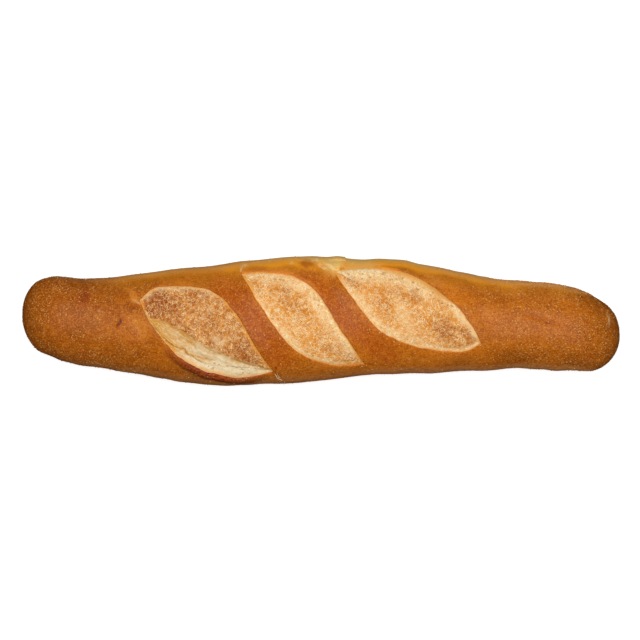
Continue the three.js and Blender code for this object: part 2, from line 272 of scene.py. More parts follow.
FOLD_TURN = -28  # way that the folds run
# Where the crumb is pale beside its edge: opening, side, shares from head to tail, reach, strength.
PALE_EDGES = [
    (0, 1, (0, 0.45), 3.4, 0.55), (1, 1, (0, 0.5), 5, 0.8), (1, 1, (0.35, 0.9), 5.5, 1),
    (1, -1, (0.15, 0.5), 3.2, 0.9), (1, -1, (0.4, 0.62), 4.2, 1), (1, -1, (0.62, 0.82), 3.4, 0.8),
    (2, 1, (0, 0.6), 8, 1.2), (2, 1, (0.55, 0.95), 3.6, 0.9), (2, -1, (0.1, 0.5), 4.5, 0.9),
    (2, -1, (0.4, 1), 2.8, 0.9),
]
# Where pores gather: opening, side, shares from head to tail, depths from the edge, how many.
PORE_BANDS = [
    (0, 1, (0.05, 0.5), (0.4, 2.2), 14), (0, -1, (0.55, 0.97), (0.8, 4.2), 16),
    (1, 1, (0.02, 0.6), (1.2, 4), 18), (1, -1, (0.25, 0.95), (0.8, 3.2), 22),
    (2, 1, (0.02, 0.75), (1.6, 5), 42), (2, -1, (0.3, 0.95), (0.8, 3), 18),
]


# ---- Helpers ----


def columns(*parts):
    return np.column_stack(parts)


def unit(vectors):
    return vectors / np.maximum(np.linalg.norm(vectors, axis=1, keepdims=True), 1e-12)


def ease(low, high, value):
    """Smooth step: 0 where the value is low, 1 where it is high."""
    t = np.clip((value - low) / (high - low), 0, 1)
    return t * t * (3 - 2 * t)


def hill(distance, reach):
    """1 at no distance, going down smoothly to 0 at the reach."""
    return np.cos(np.clip(distance / reach, 0, 1) * math.pi / 2) ** 2


def noise(points, size, seed):
    """Smooth gradient noise, about -1 to 1, whose lumps are `size` across."""
    rng = np.random.default_rng(seed)
    order = rng.permutation(256)
    slopes = unit(rng.normal(size=(256, 3)))
    solid = np.pad(points, ((0, 0), (0, 3 - points.shape[1])))
    place = solid / size + rng.uniform(0, 256, 3)
    cell = np.floor(place).astype(int)
    part = place - cell
    fade = part**3 * (part * (part * 6 - 15) + 10)
    total = np.zeros(len(points))
    for corner in itertools.product((0, 1), repeat=3):
        shift = np.array(corner)
        x, y, z = ((cell + shift) & 255).T
        slope = slopes[order[(order[(order[x] + y) & 255] + z) & 255]]
        weight = np.prod(np.where(shift, fade, 1 - fade), axis=1)
        total += weight * ((part - shift) * slope).sum(axis=1)
    return total * 1.6


def turned(x, y, degrees):
    """How far x, y lies along and across a direction in plan."""
    c, s = math.cos(math.radians(degrees)), math.sin(math.radians(degrees))
    return x * c + y * s, y * c - x * s


def along_fibres(points, length, width, turn):
    """The points in a frame that is turned and squeezed, for noise in streaks."""
    along, across = turned(points[:, 0], points[:, 1], turn)
    return columns(along / length, across / width, points[:, 2] / width)


def spots(points, marks, seed):
    """Oval marks with wandering edges: how strongly each point is marked."""
    x, y = points[:, :2].T + 0.9 * np.stack([noise(points, 2.5, seed), noise(points, 2.5, seed + 1)])
    total = np.zeros(len(points))
    for middle_x, middle_y, half_long, half_wide, turn, strength in marks:
        along, across = turned(x - middle_x, y - middle_y, turn)
        away = np.hypot(along / half_long, across / half_wide)
        total = np.maximum(total, strength * ease(1.4, 0.3, away))
    return total


def smooth_curve(points, step):
    """Curve through the points, as a row of points `step` apart."""
    points = np.array(points, float)
    padded = np.vstack([points[:1], points, points[-1:]])
    t = np.linspace(0, 1, 24, endpoint=False)[:, None]
    spans = []
    for a, b, c, d in zip(padded, padded[1:], padded[2:], padded[3:]):
        slope_b, slope_c = (c - a) / 2, (d - b) / 2
        cubic = (2 * b - 2 * c + slope_b + slope_c) * t**3
        spans.append(cubic + (3 * c - 3 * b - 2 * slope_b - slope_c) * t**2 + slope_b * t + b)
    dense = np.vstack([*spans, points[-1:]])
    way = np.concatenate([[0], np.cumsum(np.linalg.norm(np.diff(dense, axis=0), axis=1))])
    even = np.linspace(0, way[-1], max(2, round(way[-1] / step)) + 1)
    return columns(*(np.interp(even, way, side) for side in dense.T))


def nearest_on(plan, starts, ways):
    """The segment nearest to each plan point, and the gap from its nearest point."""
    offset = plan[:, None] - starts
    t = np.clip((offset * ways).sum(axis=2) / (ways**2).sum(axis=1), 0, 1)
    gap = offset - t[..., None] * ways
    near = (gap**2).sum(axis=2).argmin(axis=1)
    return near, gap[np.arange(len(plan)), near]


def beside_line(plan, line):
    """Distance from a curve through the line's points, positive on its left, and the share along it."""
    curve = smooth_curve(line, 0.5)
    ways = np.diff(curve, axis=0)
    near, gap = nearest_on(plan, curve[:-1], ways)
    left = ways[near, 0] * gap[:, 1] - ways[near, 1] * gap[:, 0]
    return np.linalg.norm(gap, axis=1) * np.where(left < 0, -1, 1), near / len(ways)


def along_lines(points, lines):
    """Height and strength of each of the lines' profiles, whichever is strongest at each point."""
    height, strength = np.zeros((2, len(points)))
    plan = points[:, :2]
    for line, high, half_wide, strong in lines:
        low, top = np.min(line, axis=0) - 4, np.max(line, axis=0) + 4
        there = (plan > low) & (plan < top)
        rows = np.flatnonzero(there.all(axis=1) & (points[:, 2] > ON_TOP))
        away, share = beside_line(plan[rows], line)
        away = away + 0.25 * noise(points[rows], 1.5, 77)
        here = np.sin(math.pi * np.clip(share, 0.04, 0.96)) ** 0.5 * np.exp(-((away / half_wide) ** 2))
        height[rows] = np.maximum(height[rows], high * here)
        strength[rows] = np.maximum(strength[rows], strong * here)
    return height, strength


# ---- The loaf's outer form ----


def smooth_rows(rows, x):
    """Cubic through a table's rows at each x: each row is x, value, value, ..."""
    i = np.clip(np.searchsorted(rows[:, 0], x) - 1, 0, len(rows) - 2)
    a, b = rows[i], rows[i + 1]
    before = rows[np.maximum(i - 1, 0)]
    after = rows[np.minimum(i + 2, len(rows) - 1)]
    step = b[:, :1] - a[:, :1]
    t = (x[:, None] - a[:, :1]) / step
    slope_a = (b - before) / (b[:, :1] - before[:, :1])
    slope_b = (after - a) / (after[:, :1] - a[:, :1])
    held = (1 + 2 * t) * (1 - t) ** 2 * a + t**2 * (3 - 2 * t) * b
    return (held + t * (1 - t) * ((1 - t) * slope_a - t * slope_b) * step)[:, 1:].T


def end_scale(x):
    """How much of its full section the loaf has at x: 1 between the ends, 0 at the tips."""
    cap = np.where(x < 0, LEFT_CAP, RIGHT_CAP)
    t = np.maximum(0, (np.abs(x) - (LENGTH / 2 - cap)) / cap)
    return np.maximum(0, 1 - t**CAP_POWER) ** (1 / CAP_POWER)


def skin(x, angle):
    """Points on the outer form. The angle round the section is 0 at +Y and a quarter turn on top."""
    middle, half, crown = smooth_rows(STATIONS, x)
    scale = end_scale(x)
    c, s = np.cos(angle), np.sin(angle)
    power = 2 / np.where(s > 0, CROWN_POWER, BASE_POWER)
    belly = BELLY * crown
    reach = np.where(s > 0, crown - belly, belly + SINK)
    y = middle + half * scale * np.sign(c) * np.abs(c) ** power
    z = belly + reach * scale * np.sign(s) * np.abs(s) ** power
    return columns(x, y, np.maximum(0, z))


def crown_height(x, y):
    """Height of the outer form above a plan point."""
    middle, half, crown = smooth_rows(STATIONS, x)
    scale = end_scale(x)
    belly = BELLY * crown
    side = np.clip(np.abs(y - middle) / (half * scale), 0, 1)
    return belly + (crown - belly) * scale * (1 - side**CROWN_POWER) ** (1 / CROWN_POWER)


def on_crown(plan):
    """Points and outward normals of the outer form above plan points."""
    x, y = plan.T
    reach = 0.05
    slope_x = (crown_height(x + reach, y) - crown_height(x - reach, y)) / (2 * reach)
    slope_y = (crown_height(x, y + reach) - crown_height(x, y - reach)) / (2 * reach)
    return columns(x, y, crown_height(x, y)), unit(columns(-slope_x, -slope_y, np.ones(len(x))))


def aside_of(points):
    """How far each point lies to the side, as a share of half the width: 1 on the +Y outline."""
    middle, half, _ = smooth_rows(STATIONS, np.clip(points[:, 0], -LENGTH / 2, LENGTH / 2))
    return (points[:, 1] - middle) / half


# ---- The openings in plan ----


def drawn_in(curve, sizes):
    """The curve moved to its left by each of the sizes."""
    along = unit(np.gradient(curve, axis=0))
    return curve + columns(-along[:, 1], along[:, 0]) * sizes[:, None]


def ear_share(share):
    """How fully the ear stands up at a share of the way along the first slash's lower side."""
    t = np.clip((share - EAR_SPAN[0]) / (EAR_SPAN[1] - EAR_SPAN[0]), 0, 1)
    return np.maximum(0, np.sin(math.pi * t)) ** EAR_TAPER


class Opening:
    """A slash's outline, anticlockwise, with each segment's side and place from head to tail."""

    def __init__(self, slash, overhangs, seed):
        lower = self.torn_side(slash, "lower", overhangs, seed)
        upper = self.torn_side(slash, "upper", overhangs, seed + 2)
        down, up = len(lower) - 1, len(upper) - 1
        self.outline = np.vstack([lower[:-1], upper[:0:-1]])
        shares = [np.linspace(0, 1, down, endpoint=False), np.linspace(1, 0, up, endpoint=False)]
        self.share = np.concatenate(shares)
        self.side = np.repeat([-1.0, 1.0], [down, up])

    def torn_side(self, slash, side, overhangs, seed):
        """One side, drawn in by its overhang and with small torn irregularities."""
        curve = smooth_curve([slash["head"], *slash[side], slash["tail"]], OUTLINE_STEP)
        share = np.linspace(0, 1, len(curve))
        fade = np.sin(math.pi * share) ** 0.3
        size = np.interp(share, np.linspace(0, 1, 5), overhangs[side]) * fade
        if slash is SLASHES[0] and side == "lower":
            size += EAR_TURN * ear_share(share)
        curve = drawn_in(curve, size if side == "lower" else -size)
        return drawn_in(curve, (0.35 * noise(curve, 6.0, seed) + 0.2 * noise(curve, 1.9, seed + 1)) * fade)

    def measure(self, plan):
        """Depth inside the outline (negative outside), nearest outline point, share and side."""
        a = self.outline
        b = np.roll(a, -1, axis=0)
        near, gap = nearest_on(plan, a, b - a)
        above = plan[:, None, 1] < a[:, 1]
        crosses = above != (plan[:, None, 1] < b[:, 1])
        with np.errstate(divide="ignore", invalid="ignore"):
            at = a[:, 0] + (b - a)[:, 0] * (plan[:, None, 1] - a[:, 1]) / (b - a)[:, 1]
        inside = (crosses & (plan[:, None, 0] < at)).sum(axis=1) % 2 == 1
        depth = np.linalg.norm(gap, axis=1) * np.where(inside, 1, -1)
        return depth, plan - gap, self.share[near], self.side[near]


OPENINGS = [Opening(slash, OVERHANGS[i], seed=10 * i) for i, slash in enumerate(SLASHES)]
FAR = -99.0  # depth given to what is nowhere near an opening


class Placing:
    """Where each of many plan points lies beside or in the nearest opening."""

    def __init__(self, count):
        self.depth = np.full(count, FAR)
        self.nearest = np.zeros((count, 2))
        self.share, self.side = np.zeros((2, count))
        self.which = np.full(count, -1)

    def fill(self, rows, plan, margin=14.0, chunk=2000):
        """Measures the plan points, some at a time, and keeps the results at these rows."""
        kept = (self.depth, self.nearest, self.share, self.side)
        for which, opening in enumerate(OPENINGS):
            low = opening.outline.min(axis=0) - margin
            high = opening.outline.max(axis=0) + margin
            close = np.flatnonzero(((plan > low) & (plan < high)).all(axis=1))
            for start in range(0, len(close), chunk):
                some = close[start : start + chunk]
                found = opening.measure(plan[some])
                better = found[0] > self.depth[rows[some]]
                target = rows[some][better]
                for values, new in zip(kept, found):
                    values[target] = new[better]
                self.which[target] = which
        return self


# ---- Meshes ----


def halves(a, b, c, d):
    """Two triangles for each patch with these four corners."""
    return np.vstack([columns(a, b, c), columns(a, c, d)])


def edges_of(faces):
    return np.vstack([faces[:, [k, (k + 1) % 3]] for k in range(3)])


def vertex_normals(points, faces):
    a, b, c = (points[faces[:, k]] for k in range(3))
    across = np.cross(b - a, c - a)
    total = np.zeros_like(points)
    for k, axis in itertools.product(range(3), repeat=2):
        total[:, axis] += np.bincount(faces[:, k], across[:, axis], len(points))
    return unit(total)


def draw_to_edge(plan, faces, placing, offset, keep_sign):
    """Moves plan points that lie beside the line `offset` outside the outlines onto that line.

    Returns which points are on it, and the faces on the kept side of it.
    """
    value = keep_sign * (placing.depth + offset)
    edges = edges_of(faces)
    crossing = edges[value[edges[:, 0]] * value[edges[:, 1]] < 0]
    size = np.abs(value[crossing])
    moved = np.unique(crossing[np.arange(len(crossing)), size.argmin(axis=1)])
    away = unit(plan[moved] - placing.nearest[moved])
    away *= -np.sign(placing.depth[moved])[:, None]
    plan[moved] = placing.nearest[moved] + offset * away
    placing.depth[moved] = -offset
    value[moved] = 0
    on_line = np.isin(np.arange(len(plan)), moved)
    kept = (value[faces] >= 0).all(axis=1) & (value[faces].sum(axis=1) > 0)
    return on_line, faces[kept]


def edge_loops(faces, on_line):
    """The closed rows of points where kept faces end on the cut line."""
    edges = edges_of(faces)
    there = set(map(tuple, edges[on_line[edges].all(axis=1)]))
    following = {a: b for a, b in there if (b, a) not in there}
    loops = []
    while following:
        start = next(iter(following))
        loop = [start]
        while (step := following.pop(loop[-1], None)) not in (start, None):
            loop.append(step)
        loops.append(np.array(loop))
    return loops


def drop_unused(points, faces, extras):
    """Leaves out the points that no face uses."""
    used = np.unique(faces)
    renumber = np.full(len(points), -1)
    renumber[used] = np.arange(len(used))
    return points[used], renumber[faces], {key: value[used] for key, value in extras.items()}


def make_mesh(name, points, faces, masks):
    """A smooth triangle mesh with float masks on its points."""
    mesh = bpy.data.meshes.new(name)
    mesh.vertices.add(len(points))
    mesh.vertices.foreach_set("co", (points * MM).astype(np.float32).ravel())
    mesh.loops.add(faces.size)
    mesh.loops.foreach_set("vertex_index", faces.astype(np.int32).ravel())
    mesh.polygons.add(len(faces))
    mesh.polygons.foreach_set("loop_start", np.arange(0, faces.size, 3, dtype=np.int32))
    mesh.update(calc_edges=True)
    mesh.validate()
    mesh.polygons.foreach_set("use_smooth", np.ones(len(faces), bool))
    for key, value in masks.items():
        layer = mesh.attributes.new(key, "FLOAT", "POINT")
        layer.data.foreach_set("value", np.asarray(value, np.float32))
    return put_in_scene(name, mesh)


def put_in_scene(name, data):
    made = bpy.data.objects.new(name, data)
    bpy.context.scene.collection.objects.link(made)
    return made


# ---- The crust ----


def even_angles(xs, count):
    """Angles round each section, evenly spaced on the crown and wider apart towards the base."""
    dense = np.linspace(-math.pi / 2, 1.5 * math.pi, 721)
    table = np.empty((len(xs), count))
    for row, x in enumerate(xs):
        ring = skin(np.full(len(dense), x), dense)
        step = np.linalg.norm(np.diff(ring, axis=0), axis=1)
        step *= 0.3 + 0.7 * ease(0.1, BELLY_LEVEL, (ring[1:, 2] + ring[:-1, 2]) / 2)
        way = np.concatenate([[0], np.cumsum(step)])
        table[row] = np.interp(np.arange(count) / count * way[-1], way, dense)
    return table


def stations_along():
    left, right = LEFT_CAP - LENGTH / 2, LENGTH / 2 - RIGHT_CAP
    turn = np.arange(1, CAP_STEPS) / CAP_STEPS * (math.pi / 2)
    middle = np.linspace(left, right, round((right - left) / ALONG_STEP) + 1)
    return np.concatenate([left - LEFT_CAP * np.cos(turn), middle, right + RIGHT_CAP * np.sin(turn)])


def loaf_grid():
    """The whole outer form as a closed grid of triangles."""
    xs = stations_along()
    rings = skin(np.repeat(xs, AROUND), even_angles(xs, AROUND).ravel())
    tips = skin(np.array([-LENGTH / 2, LENGTH / 2]), np.zeros(2))
    i, j = np.indices((len(xs) - 1, AROUND)).reshape(2, -1) * [[AROUND], [1]]
    a, b = i + j, i + (j + 1) % AROUND
    turn = np.arange(AROUND)
    after = (turn + 1) % AROUND
    end = (len(xs) - 1) * AROUND
    first, last = np.full(AROUND, len(rings)), np.full(AROUND, len(rings) + 1)
    fans = [columns(first, after, turn), columns(last, end + turn, end + after)]
    return np.vstack([rings, tips]), np.vstack([halves(a, b, b + AROUND, a + AROUND), *fans])


def ear_size(placing):
    """How fully the ear stands up beside each point: 0 away from it, 1 in its middle."""
    beside = (placing.which == 0) & (placing.side < 0)
    return np.where(beside, ear_share(placing.share), 0)


def ruddy_bands(points, drift):
    """Redder skin along the bands between the slashes."""
    ruddy = np.zeros(len(points))
    rows = np.flatnonzero((points[:, 2] > ON_TOP) & (np.abs(points[:, 0]) < 70))
    away = [np.abs(beside_line(points[rows, :2], line)[0]) for line in RUDDY_BANDS]
    ruddy[rows] = ease(9, 2, np.min(away, axis=0) + 2 * drift[rows])
    return ruddy


def golden_skin(golden, aside, placing, drift):
    """Golden skin low on the +Y side, browner above the third slash and golden on its edge, with painted
    light near the +Y outline and painted shade on the third slash's upper crest.
    """
    over_third = (placing.which == 2) & (placing.side > 0)
    share, away = placing.share, -placing.depth
    # partly real golden skin, partly painted light: the golden skin is made stronger towards the dim +Y
    # outline
    edging = np.clip(golden, 0, 0.8) * ease(0.8, 0.95, aside + 0.05 * drift)
    edging += 0.6 * over_third * ease(0.48, 0.15, share) * ease(4.5, 1, away)
    baked = over_third * ease(0.2, 0.45, share) * ease(8, 0, away)
    golden = golden * ease(0.52, 1.03, aside + 0.12 * drift) * (1 - 0.4 * baked) + edging
    # painted shade: less golden just beside the third slash's upper edge, where the fill light falls on the
    # rolled crest
    return np.clip(golden, 0, 1) * (1 - 0.45 * over_third * ease(2.4, 0.6, away))


def pale_skin(points, golden, aside):
    """Skin that the oven reached late, which ends at the flake's torn edge, and the pale outline, made paler
    on the +Y side as painted light on its dimly lit edge.
    """
    x, y, z = points.T
    past_flake = x - FLAP[1][1] + 0.42 * (32 - y)
    late = spots(points, PALE_PATCHES, 63) * ease(0.2, -0.4, past_flake)
    # painted light: paler along the +Y outline, where the steep edge gets little light
    outline = np.clip(1.2 * golden, 0, 1) * ease(0.9, 1, aside)
    pale = np.maximum.reduce([late, spots(points, LIGHT_EDGES, 64), outline])
    return pale * ease(BELLY_LEVEL - 14, BELLY_LEVEL - 2, z)


def crust_masks(points, placing, creased):
    """Where the crust is darker, redder, more golden or paler, with painted light on the flanks and the +Y
    outline, and painted shade in the creases and at the lips' dark ends.
    """
    x, _, z = points.T
    aside = aside_of(points)
    golden, dark = smooth_rows(SIDE_TONES, x)
    drift = noise(points, 12, 60)
    share, away, upper = placing.share, -placing.depth, placing.side > 0

    def on_top(marks, seed):
        return spots(points, marks, seed) * (z > ON_TOP)

    shoulder = ease(0.35, 0.75, aside) * ease(1, 0.9, aside) * ease(95, 40, x)
    clouds = on_top(DARK_CLOUDS, 61) - on_top(LIGHT_CLOUDS, 67)
    right = ease(40, 90, x)
    # painted light: the flanks are made lighter towards the outline, in place of light bounced up from the
    # floor
    far_side = 1 - 0.8 * np.clip(golden, 0, 1) + 0.3 * right
    near_side = 0.8 + 0.6 * ease(10, 60, x)
    painted_flank_light = ease(0.84, 0.98, np.abs(aside)) * ease(-150, -80, x) ** 0.5
    # painted shade: where this is low a lip gets the dark colour of a shaded edge, where high its golden
    # colour; dark on the upper sides' later parts and on most of the first slash's lips
    first_lip_gold_vs_shade = np.where(upper, 0.15, 0.1 + 0.5 * ease(0.2, 0.45, share))
    lip_gold_vs_shade = np.where(upper, ease(0.5, 0.3, share), 0.85)
    return {
        "bake": dark + 0.4 * shoulder + clouds,
        "golden": golden_skin(golden, aside, placing, drift),
        "ruddy": ruddy_bands(points, drift),
        "pale": pale_skin(points, golden, aside),
        "glow": on_top(GLOW_PATCHES, 69),
        "chalk": np.maximum(on_top(CHALKY_SPOTS, 76), along_lines(points, PALE_LINES)[1]),
        # painted shade: the creases' darkening is laid in together with the scorched spots
        "scorch_and_crease_shade": np.maximum(on_top(SCORCHES, 65), creased),
        "rim": upper * (placing.which == 1) * ease(2, 0.5, away) * ease(0.6, 0.4, share),
        "lip_gold_vs_shade": lip_gold_vs_shade * np.where(placing.which == 0, first_lip_gold_vs_shade, 1),
        "ear": ear_size(placing) ** 0.6 * ease(4.1, 2.7, away + 0.5 * noise(points, 4, 74)),
        "painted_flank_light": painted_flank_light * np.where(aside > 0, far_side, near_side),
        "sown": np.clip(2.4 * sowing(points) * (1 + 2 * right), 0, 1),
        "base": ease(5, 0.3, z),
    }


def flap_of(points):
    """Height of the flake of crust that stands out on the outline at the third slash's head."""
    (start, full), (end, fall), height = FLAP
    x, y, z = points.T
    return height * ease(start, full, x) * ease(end, fall, x) * ease(30.2, 31.2, y) * ease(6, 12, z)


def swell_of(points):
    """How far the crust's sides stand out from the solid's."""
    aside = aside_of(points)
    total = np.zeros(len(points))
    for x, side, half_long, size in SWELLS:
        total += size * hill(np.abs(points[:, 0] - x), half_long) * ease(0.4, 0.95, side * aside)
    return total


def crust_relief(points, placing, crease):
    """How far each crust point stands out from the outer form."""
    z = points[:, 2]
    away = np.clip(-placing.depth, 0, None)
    lumps = 0.3 * noise(points, 24, 1) + 0.12 * noise(points, 9, 2) + 0.04 * noise(points, 3, 3)
    blisters = 0.3 * spots(points, SCORCHES, 65) * (z > BELLY_LEVEL)
    torn = along_lines(points, PALE_LINES)[0]
    crinkle = 1 + 0.14 * noise(points, 2.4, 4) + 0.1 * noise(points, 1.0, 5)
    lift = ear_size(placing) * ear_profile(away) * crinkle
    plain = lumps + RIB * hill(away, RIB_REACH) + blisters + torn - crease + swell_of(points)
    return plain * ease(0.5, 5, z) + lift + flap_of(points)


def ear_profile(away):
    """Height of the lifted lip at a distance outside the opening's outline."""
    return EAR_HEIGHT * hill(np.abs(away - EAR_TURN), 1.5 * EAR_WIDTH)


LIP_PROFILE = [  # angle round the rolled edge, then the tuck behind it: inward, down, in lip radii
    *[(math.sin(math.radians(a)), 1 - math.cos(math.radians(a))) for a in (18, 38, 60, 85, 115, 150)],
    (-0.3, 2.3),
]


def add_lips(points, faces, normals, loops, masks, ears):
    """Rolls the crust's edge over and in under itself along each loop."""
    count = len(points)
    new_points, new_faces, source, lip = [points], [faces], [np.arange(count)], [np.zeros(count)]
    for loop in loops:
        here, up = points[loop], normals[loop]
        along = unit(np.roll(here, -1, axis=0) - np.roll(here, 1, axis=0))
        inward = unit(np.cross(along, up))
        radius = LIP * (1 + 0.9 * ears[loop])[:, None]
        ring = loop
        for step, (inside, down) in enumerate(LIP_PROFILE, 1):
            following = count + np.arange(len(loop))
            new_points.append(here + radius * (inside * inward - down * up))
            new_faces.append(halves(np.roll(ring, -1), ring, following, np.roll(following, -1)))
            source.append(loop)
            lip.append(np.full(len(loop), step / len(LIP_PROFILE)))
            ring = following
            count += len(loop)
    masks = {key: value[np.concatenate(source)] for key, value in masks.items()}
    masks["lip"] = np.concatenate(lip)
    return np.vstack(new_points), np.vstack(new_faces), masks


def make_crust():
    points, faces = loaf_grid()
    placing = Placing(len(points))
    near = np.flatnonzero((points[:, 2] > BELLY_LEVEL) & (np.abs(points[:, 0]) < 110))
    placing.fill(near, points[near, :2])
    plan = points[:, :2].copy()
    on_line, kept = draw_to_edge(plan, faces, placing, LIP, keep_sign=-1)
    points[on_line] = on_crown(plan[on_line])[0]
    # the second value is how much painted shade darkens each crease
    crease, creased = along_lines(points, CREASES)
    masks = crust_masks(points, placing, creased)
    relief = crust_relief(points, placing, crease)
    points = points + vertex_normals(points, faces) * relief[:, None]
    points[:, 2] = np.maximum(points[:, 2], 0)
    normals = vertex_normals(points, faces)
    loops = edge_loops(kept, on_line)
    return drop_unused(*add_lips(points, kept, normals, loops, masks, ear_size(placing)))


# ---- Semolina on the crust ----


def sowing(points):
    """How thickly the semolina lies at each point, in grains to the square millimetre."""
    x, _, z = points.T
    aside = aside_of(points)
    ends = np.maximum(ease(-80, -110, x), ease(85, 125, x))
    low_rim = ease(-0.6, -0.85, aside) * ease(-0.97, -0.9, aside) * ease(70, 10, x)
    high_rim = ease(0.8, 1, aside) * ease(70, 95, x) * ease(148, 128, x)
    patchy = np.clip(1 + 1.6 * noise(points, 8, 81), 0.15, 2.5)
    return patchy * (0.04 + 0.12 * ends + 0.1 * low_rim + 1.4 * high_rim + 0.12 * ease(10, 3, z))


def round_body():
    """Points and triangles of a ball with twenty faces."""
    ball = bmesh.new()
    bmesh.ops.create_icosphere(ball, subdivisions=1, radius=1)
    points = np.array([v.co for v in ball.verts])
    faces = np.array([[v.index for v in face.verts] for face in ball.faces])
    ball.free()
    return points, faces


def make_grains(points, faces):
    """Small uneven grains that lie half sunk in the crust."""
    rng = np.random.default_rng(82)
    a, b, c = (points[faces[:, k]] for k in range(3))
    across = np.cross(b - a, c - a)
    expected = sowing((a + b + c) / 3) * np.linalg.norm(across, axis=1) / 2
    chosen = rng.choice(len(faces), int(expected.sum()), p=expected / expected.sum())
    share = rng.dirichlet((1, 1, 1), len(chosen))
    centres = (points[faces[chosen]] * share[..., None]).sum(axis=1)
    form, form_faces = round_body()
    count = len(centres)
    lumpy = form * rng.uniform(0.75, 1.15, (count, len(form), 1))
    sizes = GRAIN_RADIUS * rng.lognormal(0, 0.28, (count, 1)) * rng.uniform(0.7, 1.25, (count, 3))
    turn, _ = np.linalg.qr(rng.normal(size=(count, 3, 3)))
    bodies = np.einsum("gvk,gkj->gvj", lumpy * sizes[:, None], turn)
    lift = unit(across[chosen]) * sizes.mean(axis=1, keepdims=True) * 0.2
    grains = (bodies + (centres + lift)[:, None]).reshape(-1, 3)
    grains[:, 2] = np.maximum(grains[:, 2], 0)
    numbers = form_faces + len(form) * np.arange(count)[:, None, None]
    tone = np.repeat(rng.uniform(0, 1, count) ** 1.5, len(form))
    return make_mesh("semolina", grains, numbers.reshape(-1, 3), {"tone": tone})


# ---- The crumb in the openings ----


def pores_of(points, placing, which):
    """Small pits near the edges: 1 in the middle of a pit."""
    rng = np.random.default_rng(90 + which)
    total = np.zeros(len(points))
    for _, side, shares, depths, count in (band for band in PORE_BANDS if band[0] == which):
        there = (placing.side == side) & (placing.share > shares[0]) & (placing.share < shares[1])
        there &= (placing.depth > depths[0]) & (placing.depth < depths[1])
        for centre in points[rng.choice(np.flatnonzero(there), count, replace=False)]:
            radius = rng.uniform(0.2, 0.6)
            near = np.flatnonzero(np.abs(points - centre).max(axis=1) < 2.5)
            away = along_fibres(points[near] - centre, rng.uniform(1.0, 2.0), 1.0, rng.uniform(-60, 20))
            away = np.linalg.norm(away, axis=1) / radius
            total[near] = np.maximum(total[near], rng.uniform(0.4, 1.0) * ease(1.4, 0.3, away))
    return total


def strings(points, seed):
    """Torn strings that run in several ways: 1 along a string, 0 between them."""
    drift = columns(*(noise(points, 2.0, seed + k) for k in (1, 2, 3)))
    total = np.zeros(len(points))
    for number, turn in enumerate(FIBRE_TURNS):
        place = along_fibres(points + 0.8 * drift, 2.4, 0.85, turn)
        ridge = np.clip(1 - 5.6 * np.abs(noise(place, 1, seed + 4 + number)), 0, 1)
        there = ease(-0.05, 0.3, noise(points, 1.5, seed + 10 + number))
        total = np.maximum(total, ridge * there)
    return total


def folds_of(points):
    """The first opening's lower folds: their masks, and how far they stand out."""
    wander = 0.5 * noise(points, 5, 70) + 0.35 * noise(points, 1.6, 71)
    above_panel, _ = beside_line(points[:, :2], PANEL_EDGE)
    cream = ease(0.7, -0.5, above_panel + wander)
    above, share = beside_line(points[:, :2], FOLD)
    above = above + 0.4 * noise(points, 2.6, 72) + 0.25 * noise(points, 0.9, 78)
    torn = ease(-0.3, 0.25, noise(points, 1.6, 73)) * ease(-0.6, 0.1, noise(points, 0.7, 85))
    openness = np.interp(share, *zip(*FOLD_OPEN))
    # the cleft deepens the surface and, as painted shade, darkens it, open in places along it
    cleft = openness * cream * torn * np.exp(-((above / 0.35) ** 2))
    strip = cream * ease(0.2, -0.3, above)
    creased, dark = along_lines(points, FOLD_CREASES)
    streak = noise(along_fibres(points, 5, 1.1, FOLD_TURN), 1, 75)
    lumps = noise(along_fibres(points, 7, 3.2, FOLD_TURN), 1, 79)
    relief = -0.7 * ease(0.8, -1.5, above_panel) + cream * (0.16 * streak + 0.35 * lumps)
    step = 0.25 + 0.75 * openness
    relief += step * cream * (0.6 * ease(2.6, 0.2, above) - 1.2 * ease(0.5, -0.4, above))
    relief += 0.9 * strip * step * ease(-0.4, -3.0, above)
    milk_and_shade = 0.2 + 0.5 * ease(-84, -52, points[:, 0]) + 0.22 * noise(points, 4, 83) + 0.25 * lumps
    # the strip is milkier to the right; painted shade makes the folds less milky beside the panel's edge,
    # and below along the creases and round the open cleft
    milk_and_shade += 0.4 * strip * ease(-72, -62, points[:, 0]) - 0.35 * ease(-2.2, 0, above_panel)
    milk_and_shade -= 0.4 * dark + 0.5 * openness * cream * np.exp(-((above / 1.3) ** 2))
    # painted shade along the softer fold creases
    creases = 0.45 * dark * cream * ease(-0.2, 0.4, noise(points, 0.9, 86))
    masks = {"cream": cream, "milk_and_shade": np.clip(milk_and_shade, 0, 1), "cleft": np.maximum(cleft, creases)}
    return masks, relief - 0.7 * cleft - creased * cream


def pale_edges(points, placing, which):
    """How pale the crumb is beside its edges."""
    depth = placing.depth + 1.3 * noise(points, 4.0, 57) + 0.6 * noise(points, 1.4, 68)
    total = spots(points, MILKY[which], 88)
    for opening, side, (start, end), reach, strength in PALE_EDGES:
        there = (placing.side == side) * (opening == which)
        along = ease(start - 0.08, start + 0.04, placing.share) * ease(end + 0.08, end - 0.04, placing.share)
        total = np.maximum(total, strength * there * along * ease(1.2 * reach, 0.1 * reach, depth))
    return np.clip(total * (0.9 + 0.45 * noise(points, 2.0, 87)), 0, 1)


def toasting(points, depth, share, which):
    """How far the crumb is browned, from its head to its tail and at its browner marks."""
    at_head, at_tail, marks = TOASTED[which]
    margin = depth + 1.2 * noise(points, 4, 50 + which)
    patchy = 0.87 + 0.24 * noise(points, 6, 53 + which) + 0.24 * noise(points, 2.4, 56 + which)
    toast = (at_head + (at_tail - at_head) * share + spots(points, marks, 80)) * patchy
    return toast * ease(-0.4, 3.0 if which else 2.2, margin)


